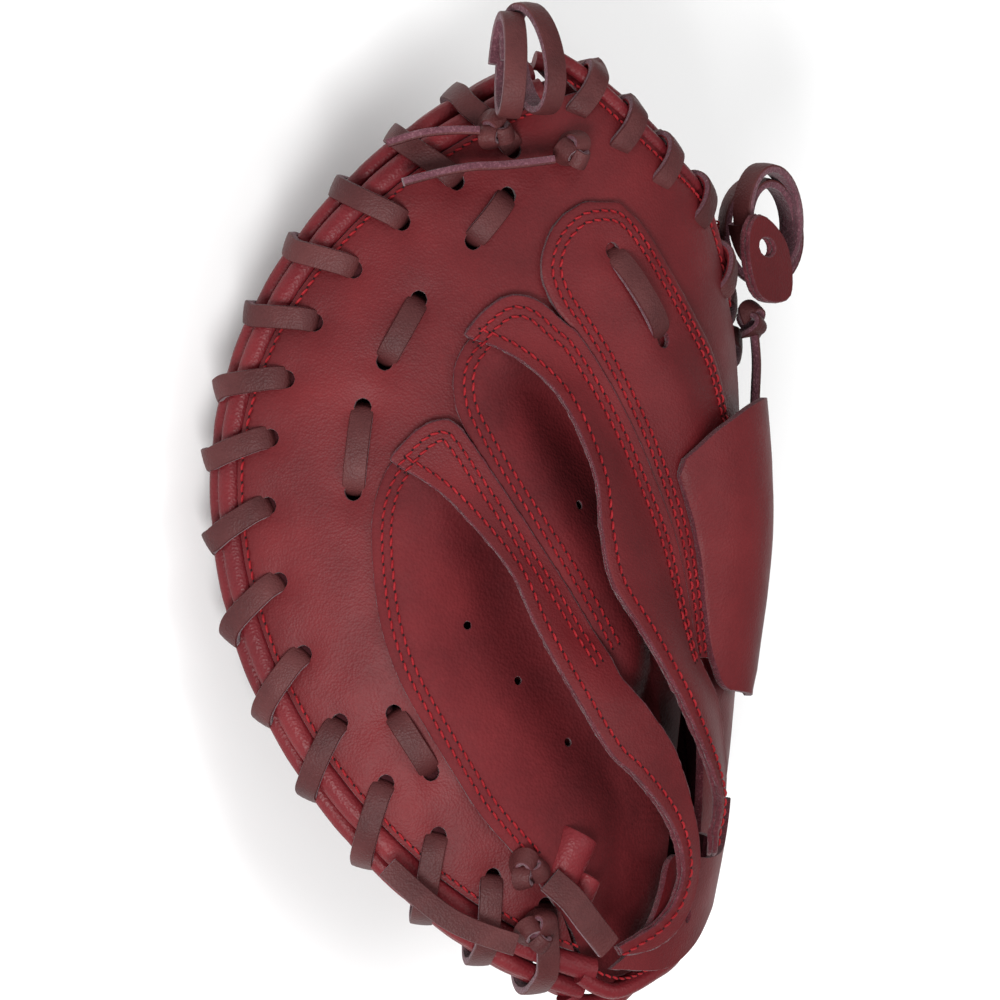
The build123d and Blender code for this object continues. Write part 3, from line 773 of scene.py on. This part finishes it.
RING_FLAP_TOP = flap_top(RING_FLAP_EDGE, RING_FLAP_ROOT)
MIDDLE_FLAP_TOP = flap_top(MIDDLE_FLAP_EDGE, MIDDLE_FLAP_ROOT)


def flat(rows):
    return [(s, y) for y, s, h in rows]


RING_OUTER = smooth([*RING_TIP, *reversed(RING_SEAM[:4])], 2)
MIDDLE_OUTER = smooth([*MIDDLE_TIP, *reversed(INDEX_SEAM[:7])], 2)
FLAPS = (("ring_finger_flap", RING_FLAP_EDGE, RING_OUTER, RING_SIDE, RING_FLAP_TOP),
         ("middle_finger_flap", MIDDLE_FLAP_EDGE, MIDDLE_OUTER, MIDDLE_SIDE, MIDDLE_FLAP_TOP))


def finger_flaps():
    for node, edge, outer, side, top in FLAPS:
        outline = np.vstack([smooth(flat(edge), 2), outer, smooth(side, 2)])
        obj = leather(f"{node}_leather", outline, top, FLAP_THICK, HIDE, wall=TWO_LAYERS, pitch=2.2, nap=0.12)
        place(obj, FINGERS, "shell_leather", node)


def rounded_trim(from_edge, width):
    """A leather panel's height: swelling from its edge, which is rounded."""
    return TRIM_TOP + 1.6 * eased((from_edge - 7) / width) - 0.5 * np.clip(1 - from_edge / 1.5, 0, 1) ** 2


def index_top(s, y):
    from_edge = distance_to(np.vstack([smooth(INDEX_SEAM), smooth(INDEX_FAR_SIDE)[::-1]]), s, y)
    dents = 0
    s0, y0, s1, y1 = INDEX_PAD_LACE
    for hole in ((s0, y0), (s1, y1)):
        dents = dents + 1.2 * np.exp(-((s - hole[0]) ** 2 + (y - hole[1]) ** 2) / 30.0)
    return rounded_trim(from_edge, 16) - dents


def index_panel():
    s0, y0, s1, y1 = INDEX_PAD_LACE
    outline = np.vstack([smooth(INDEX_SEAM, 2), smooth(INDEX_FAR_SIDE, 2)[::-1]])
    obj = leather("index_panel_leather", outline, index_top, TRIM_THICK, HIDE,
                  [circle((s0, y0)), circle((s1, y1))], nap=0.12)
    place(obj, FINGERS, "shell_leather", "index_stall_panel")


HOOD_LEFT = [(94, -6), (100, -2), (120, 3), (140, 8), (160, 16), (184, 20)]
HOOD_RIGHT = [(94, -34), (100, -40), (120, -43), (165, -43), (184, -40)]


def hood_top(s, y):
    left, right = between(HOOD_LEFT, y)[0], between(HOOD_RIGHT, y)[0]
    t = np.clip((s - right) / (left - right), 0, 1)
    rise = 5.0 + 4.5 * eased((np.asarray(y) - 94) / 60)
    return TRIM_TOP + 1.6 + rise * np.sin(math.pi * t) ** 0.7


def index_hood():
    left = [(-10, 94), (-6, 97), (-1, 106), (3, 120), (8, 140), (16, 160)]
    mouth = [(15, 165), (11, 169), (4, 175), (-10, 182), (-26, 184), (-38, 180)]
    right = [(-43, 165), (-43, 120), (-40, 100), (-30, 92)]
    outline = np.vstack([smooth(left, 2), smooth(mouth, 2), smooth(right, 2)])
    obj = leather("index_hood_leather", outline, hood_top, 2.4, HIDE, pitch=2.2)
    place(obj, FINGERS, "shell_leather", "index_hood")


def pads():
    """The felt between the palm and the lining, and along the rims, in slabs with soft edges. Its near-black
    colour is painted shade, for where it shows through the lace holes.
    """
    def slab(name, body, outline, low, high, node):
        def top(s, y):
            edge = distance_to(np.vstack([outline, outline[:1]]), s, y)
            return high - 1.5 * np.clip(1 - edge / 4, 0, 1) ** 2

        def thick(s, y):
            return top(s, y) - low
        obj = leather(name, outline, top, thick, [FELT_AS_SHADE, FELT_AS_SHADE, FELT_AS_SHADE], pitch=5.0,
                      wall=((0, 1), (0.8, 0.8), (1.0, 0.5), (0.8, 0.2), (0, 0)))
        place(obj, body, "padding", node)

    def half_outline(half, low_y, high_y):
        line = rim_line(half, 80, -80, -8)
        line = line[(line[:, 1] > low_y) & (line[:, 1] < high_y)]
        fold_side = FOLD_S + HALVES[half][0] * 6
        return np.vstack([line, [(fold_side, low_y + 2), (fold_side, min(high_y, 200) - 2)]])

    for half, body, heel_top, toe in (("fingers", FINGERS, 46, 262), ("thumb", THUMB, 50, 224)):
        low = 12 if half == "fingers" else 18
        slab(f"heel_felt_{half}", body, half_outline(half, low, heel_top), *PAD_H, f"heel_pad_{half}")
        slab(f"palm_felt_{half}", body, half_outline(half, heel_top + 1, toe), *PAD_H, f"palm_pad_{half}")
    for name, half, body, first, last, inner in (("finger_edge", "fingers", FINGERS, 44, -56, -32),
                                                 ("thumb_edge", "thumb", THUMB, 42, -52, -23)):
        edges = [rim_line(half, first, last, -10), rim_line(half, first, last, inner)[::-1]]
        slab(f"{name}_felt", body, np.vstack(edges), *EDGE_PAD_H, f"{name}_pad")


def whole_outline(inset):
    """The outline of both halves with the notch of the web between them."""
    fingers = rim_line("fingers", 80, -84, -inset)
    thumb = rim_line("thumb", -80, 76, -inset)
    return np.vstack([fingers, [(10, 2), (-20, 6)], thumb, [(-72, 243), (-63, 215), (-56, 190), (-46, 206)],
                      WEB_EDGE[1:]])


def palm_leather():
    def top(s, y):
        return PALM_H[1] + undulation(s, y, 0.25)
    obj = leather("palm_leather", whole_outline(2), top, PALM_H[1] - PALM_H[0], [SUEDE, RAW_EDGE, SHELL],
                  pitch=3.6)
    across_fold(obj, "shell_leather", "palm_shell_fingers", "palm_shell_thumb")


def inner_lining():
    def top(s, y):
        return LINING_H[1] + undulation(s, y, 0.2)
    obj = leather("hand_lining_leather", whole_outline(10), top, LINING_H[1] - LINING_H[0], SOFT_HIDE,
                  pitch=3.6)
    across_fold(obj, "lining_leather", "hand_lining", "thumb_lining", h=LINING_H[0])


def rim_welts():
    for half, (side, *_) in HALVES.items():
        body = FINGERS if side > 0 else THUMB
        first, last = (74, -86) if side > 0 else (74, -74)
        wraps = wrap_places(half)
        angles = np.linspace(first, last, 150)
        pinch = 1 - 0.1 * sum(np.exp(-((angles - wrap) / 1.6) ** 2) for wrap in wraps)
        for name, h, outward in (*WELTS, ("edge_binding", BINDING_H, BINDING_OUT)):
            line = np.array([(*rim_at(half, angle, outward)[0], h) for angle in angles])
            radii = BINDING_RADII if name == "edge_binding" else (WELT_RADIUS, WELT_RADIUS)
            shape = Shape()
            roll(shape, line, radii, pinch)
            place(shape.build(f"{name}_roll_{half}", [WELT]), body, "welt_leather", f"{name}_{half}")


def rim_lacing():
    """One wrap of lace over the rim at each hole."""
    rng = np.random.default_rng(11)
    for half, (side, *_) in HALVES.items():
        shape = Shape()
        for angle in wrap_places(half):
            hole, at, out, along = wrap_hole(half, angle)
            drift = rng.uniform(-1.2, 1.2)
            corners = [(-WRAP_HOLE, 16.0, -WRAP_SLANT), (-WRAP_HOLE + 1, 20.8, -WRAP_SLANT),
                       (-WRAP_HOLE + 4, 23.4, 1 - WRAP_SLANT), (-7, 24, -1), (-2, 23.7, 1.5), (3, 21.4, 4),
                       (6.3, 17, 5.5 + drift), (7.9, 10, 6.5 + drift), (7.9, 3, 6.5 + drift), (5.6, -4, 5.5),
                       (0, -7.8, 3.5), (-7, -8.4, 1.5), (-13.5, -7.6, 0), (-15.5, -4, 0)]
            line = smooth([(*(at + out * o + along * a), h) for o, h, a in corners], 1.0)
            path = form(*line.T)
            tangent = unit(np.gradient(path, axis=0))
            middle = form(*(at - out * 4), 8.0)
            outward = unit(path - middle)
            ribbon(shape, path, np.cross(tangent, outward))
        body = FINGERS if side > 0 else THUMB
        place(shape.build(f"rim_lace_{half}", LACED), body, "lace", f"rim_lacing_{half}")


def pad_laces():
    shape = Shape()
    for s0, y0, s1, y1 in (*PAD_LACES, INDEX_PAD_LACE):
        top = index_top if (s0, y0, s1, y1) == INDEX_PAD_LACE else shell_top
        share = np.array([0.0, 0.06, 0.16, 0.35, 0.65, 0.84, 0.94, 1.0])
        s, y = s0 + (s1 - s0) * share, y0 + (y1 - y0) * share
        lift = np.array([-5.0, -1.2, 0.9, 1.7, 1.7, 0.9, -1.2, -5.0])
        lace(shape, np.stack([s, y, top(s, y) + lift], -1))
    place(shape.build("pad_laces", LACED), FINGERS, "lace", "pad_lacing")


def sewing():
    """Every row of red thread on the finger side."""
    shape = Shape()
    around = smooth(INDEX_SEAM + INDEX_FAR_SIDE[::-1][:-1], 2)
    for row in SEAM_ROWS:
        for line, top in ((smooth([*PINKY_EDGE, (103, 175)], 2), PINKY_HOLLOW_TOP),
                          (smooth(RING_SEAM, 2), MIDDLE_HOLLOW_TOP), (RING_OUTER, RING_FLAP_TOP),
                          (MIDDLE_OUTER, MIDDLE_FLAP_TOP), (around, index_top)):
            stitch_row(shape, shifted(line, row), top)
    for _, edge, _, _, top in FLAPS:
        stitch_row(shape, shifted(smooth(flat(edge), 2), FREE_EDGE_ROW), top)
    stitch_row(shape, rim_line("fingers", 76, -80, -RIM_ROW_INSET), shell_top, 0.2)
    stitch_row(shape, shifted(smooth(HEEL_EDGE, 2), HEEL_ROW), shell_top, 0.2)
    stitch_row(shape, shifted(smooth(WEB_EDGE, 2), WEB_ROW), shell_top)
    place(shape.build("red_stitching_fingers", [THREAD, NEEDLE_HOLE_SHADE]), FINGERS, "welt_leather")


# Web, heel and knots

def web():
    edge = [(56, 286), (39, 278), (22, 267), (4, 256), (-18, 247), (-40, 245), (-54, 245), (-70, 245)]
    outline = np.vstack([edge, [(-68, 226), (-60, 200), (-52, 196), (-40, 196)],
                         [(-34, 210), (-26, 226), (-10, 240), (10, 252), (36, 268), (52, 280)]])

    def top(s, y):
        return WEB_H + 1.6 + undulation(s, y, 0.4)
    obj = leather("web_leather", outline, top, 3.0, [SHELL, RAW_EDGE, SHELL])
    across_fold(obj, "shell_leather", "web_panel_fingers", "web_panel_thumb", h=WEB_H)
    shape = Shape()
    along = ((58, 288), (38, 284), (16, 275), (-6, 266), (-26, 257.5), (-44, 255), (-53, 253), (-62, 253),
             (-71, 256))
    roll(shape, smooth([(s, y, WEB_H) for s, y in along], 2), (3.0, 3.0))
    obj = shape.build("web_top_roll", [WELT])
    across_fold(obj, "welt_leather", "web_top_roll_fingers", "web_top_roll_thumb", h=WEB_H)


def finger_web_seam():
    """The bound edge of the back along the web, and the lace wrapped over it."""
    shape = Shape()
    line = np.array([(s, y, 20.2) for s, y in shifted(smooth(WEB_EDGE, 2), 1.0)])
    roll(shape, line, (2.4, 2.2), slots=2)
    for s, y in WEB_EDGE[1:6]:
        lace(shape, [(s + 9, y - 9, 19), (s + 8, y - 7, 23), (s + 3, y - 2, 24.5), (s - 1, y + 3, 24),
                     (s - 4, y + 6, 19), (s - 4, y + 7, 13)])
    obj = shape.build("web_seam_lace_fingers", [LACE, LACE_EDGE, WELT])
    place(obj, FINGERS, "lace", "web_seam_lacing_fingers")


def wrist():
    outline = np.vstack([smooth([(32, 8), (2, 8), (-20, 15), (-38, 25), (-56, 30), (-68, 32)], 3),
                         smooth([(-72, 45), (-70, 60)], 3),
                         smooth([(-56, 60), (-42, 46), (-20, 42), (0, 43), (9, 42), (11, 32), (15, 22),
                                 (24, 13)], 3)])

    def top(s, y):
        return TRIM_TOP + 0.6 + undulation(s, y, 0.3)
    holes = [circle(at, 2.2) for at in ((4, 30), (-8, 24))]
    obj = leather("wrist_band_leather", outline, top, 2.4, HIDE, holes, nap=0.1)
    across_fold(obj, "shell_leather", "wrist_band_fingers", "wrist_band_thumb", h=TRIM_TOP)
    shape = Shape()
    lower = smooth([(40, 0, 8), (34, -3, 8), (14, -3, 8), (-8, 2, 8), (-26, 9, 8), (-40, 19, 8)], 2)
    roll(shape, lower, (3.6, 3.6))
    upper = shifted(smooth(HEEL_EDGE, 2), 1.6)
    roll(shape, np.column_stack([upper, np.full(len(upper), 19.6)]), (2.6, 2.6))
    place(shape.build("heel_binding_roll", [WELT]), FINGERS, "welt_leather", "heel_binding_fingers")
    shape = Shape()
    for s, y, width, radius in ((51, 43, 15.0, 6.6), (45, 32, 10.0, 4.6)):
        turn = np.linspace(-0.5 * math.pi, 1.5 * math.pi, 24)
        line = np.stack([s + 0.9 * radius * np.cos(turn), y + 0.45 * radius * np.cos(turn),
                         19.0 + radius * np.sin(turn)], -1)
        path = form(*line.T)
        side = form(s + 0.45, y - 0.9, 20)[None] - form(s, y, 20)[None]
        section, slots = lace_section(width, 1.8)
        sweep(shape, path, side.repeat(len(path), 0), section, slots)
    place(shape.build("pull_loop_leather", [WELT, RAW_EDGE, SUEDE]), FINGERS, "welt_leather", "pull_loops")


def knot(shape, s, y, h, turn, size=4.6):
    """An overhand knot in flat lace, pulled tight."""
    t = np.linspace(0.25, 2 * math.pi - 0.25, 60)
    x = (np.sin(t) + 2 * np.sin(2 * t)) / 3 * size
    v = (np.cos(t) - 2 * np.cos(2 * t)) / 3 * size
    z = -np.sin(3 * t) * 2.1
    across = x * math.cos(turn) - v * math.sin(turn)
    along = x * math.sin(turn) + v * math.cos(turn)
    path = form(s + across, y + along, h + z)
    out = out_of_form(s, y, h)[None].repeat(len(path), 0)
    tangent = unit(np.gradient(path, axis=0))
    outward = unit(path - path.mean(0))
    ribbon(shape, path, np.cross(tangent, unit(0.45 * out + 0.55 * outward)), width=5.6, thick=2.2)


def standing_loop(shape, s, y, h, heading, length, height, turn):
    """A loose loop of lace that stands up from the form."""
    t = np.linspace(-0.5 * math.pi, 1.5 * math.pi, 44)
    base, out = form(s, y, h), out_of_form(s, y, h)
    along = unit(form(s + heading[0], y + heading[1], h) - base)
    across = np.cross(along, out)
    stand = unit(out * math.cos(math.radians(turn)) + across * math.sin(math.radians(turn)))
    flat_way = np.cross(along, stand)
    path = base + MM * (length / 2 * np.cos(t)[:, None] * along + height / 2 * np.sin(t)[:, None] * stand)
    path = path + flat_way[None] * (np.linspace(-1.2, 1.2, len(t)) * MM)[:, None]
    ribbon(shape, path, -flat_way[None].repeat(len(t), 0))


def toe():
    shape = Shape()
    standing_loop(shape, 66, 288, 36.5, (0.1, 1.0), 33, 20, 25)
    standing_loop(shape, 74, 286, 36.5, (-0.1, 1.0), 31, 20, 0)
    place(shape.build("toe_loop_lace", LACED), FINGERS, "lace", "toe_lace_loops")
    shape = Shape()
    knot(shape, 78, 266, 29, 0.5)
    knot(shape, 52, 260, 29, 1.2)
    place(shape.build("toe_knot_lace", LACED), FINGERS, "lace", "toe_knots")
    shape = Shape()
    lace(shape, [(84, 266, 29), (92, 266, 30), (102, 265, 31), (113, 262, 30)], on_edge=True)
    place(shape.build("toe_short_end_lace", LACED), FINGERS, "lace", "toe_lace_end_short")
    free_end("toe_long_end_lace", TOE_END, "toe_lace_end", True)


def heel():
    shape = Shape()
    knot(shape, 67, 39, 28, 0.3, 5.0)
    knot(shape, 63, 20, 28, 1.4, 5.4)
    place(shape.build("heel_knot_lace", LACED), FINGERS, "lace", "heel_knots")
    shape = Shape()
    lace(shape, [(60, 36, 29), (53, 30, 31), (46, 22, 32), (38, 15, 31)], width=8.5)
    place(shape.build("heel_short_end_lace", LACED), FINGERS, "lace", "heel_lace_end")
    free_end("heel_long_end_lace", HEEL_END, "heel_lace_end_long", False)


# The thumb side

def thumb_side():
    outline = np.vstack([rim_line("thumb", 76, -76, -SHELL_INSET), [(-65, 26), (-65, 180)],
                         shifted(THUMB_WEB_EDGE, 4)])
    holes = [circle(hole) for hole in THUMB_HOLES]
    obj = leather("back_leather_thumb", outline, shell_top, SHELL_THICK, HIDE, holes)
    place(obj, THUMB, "shell_leather", "back_shell_thumb")
    edge = smooth([(-74, 50), (-100, 50), (-112, 75), (-119, 100), (-121, 150), (-114, 190), (-104, 208),
                   (-90, 208), (-84, 190), (-81, 150), (-78, 100), (-76, 75)], 2, closed=True)[:-1]

    def top(s, y):
        from_edge = distance_to(np.vstack([edge, edge[:1]]), s, y)
        return rounded_trim(from_edge, 12)
    obj = leather("thumb_panel_leather", edge, top, TRIM_THICK, HIDE, nap=0.12)
    place(obj, THUMB, "shell_leather", "thumb_stall_panel")
    shape = Shape()
    for row in SEAM_ROWS:
        stitch_row(shape, shifted(np.vstack([edge, edge[:1]]), -row), top)
    stitch_row(shape, rim_line("thumb", 76, -76, -RIM_ROW_INSET), shell_top, 0.2)
    stitch_row(shape, shifted(smooth(THUMB_WEB_EDGE, 2), 7.5), shell_top)
    place(shape.build("red_stitching_thumb", [THREAD, NEEDLE_HOLE_SHADE]), THUMB, "welt_leather")

    def loop_top(s, y):
        return 15.5 + 0 * np.asarray(s)
    outline = np.array([(-108, 95), (-108, 115), (-72, 115), (-72, 95)])
    obj = leather("thumb_loop_leather", outline, loop_top, 2.0, SOFT_HIDE)
    place(obj, THUMB, "lining_leather", "thumb_loop")


def thumb_tip():
    shape = Shape()
    for s, y, length, height, turn in ((-70, 240, 33, 24, 40), (-75, 238, 28, 19, 30), (-84, 236, 33, 24, 5)):
        standing_loop(shape, s, y, 38.5, (0.25, 1.0), length, height, turn)
    place(shape.build("thumb_loop_lace", LACED), THUMB, "lace", "thumb_tip_loops")
    shape = Shape()
    knot(shape, -58, 208, 29, 0.8)
    place(shape.build("thumb_knot_lace", LACED), THUMB, "lace", "thumb_tip_knot")
    shape = Shape()
    lace(shape, [(-58, 204, 29), (-59, 195, 29), (-60, 184, 28), (-61, 170, 27)])
    place(shape.build("thumb_end_lace", LACED), THUMB, "lace", "thumb_tip_lace_end")

    def top(s, y):
        return 30.0 + 0.85 * (-48 - np.asarray(s))
    outline = smooth([(-62, 216), (-50, 216), (-48, 232), (-54, 241), (-63, 232)], 2, closed=True)[:-1]
    holes = [circle((-55, 231), 3.4)]
    obj = leather("thumb_tab_leather", outline, top, 3.0, HIDE, holes, wall=TWO_LAYERS, nap=0.1)
    place(obj, THUMB, "shell_leather", "thumb_tip_tab")
    shape = Shape()
    for y in (200, 213, 226):
        s = np.interp(y, [186, 215, 240], [-56, -63, -70]) - 9
        lace(shape, [(s - 8, y - 5, 19), (s - 6, y - 3, 23.6), (s, y, 24.4), (s + 6, y + 3, 23.6),
                     (s + 8, y + 5, 18)])
    place(shape.build("web_seam_lace_thumb", LACED), THUMB, "lace", "web_seam_lacing_thumb")
    shape = Shape()
    for y in (203, 214, 225, 236, 247):
        lace(shape, [(-66, y - 3, 12.5), (-63, y - 1, 14.2), (-60, y, 14.6), (-57, y + 1, 14.2),
                     (-54, y + 3, 12.5)], width=6)
    place(shape.build("web_center_lace", LACED), THUMB, "lace", "web_center_lacing")


camera()
studio()
back_leather()
stall_hollows()
finger_flaps()
index_panel()
index_hood()
rim_welts()
rim_lacing()
pad_laces()
sewing()
pads()
palm_leather()
inner_lining()
web()
finger_web_seam()
wrist()
toe()
heel()
thumb_side()
thumb_tip()
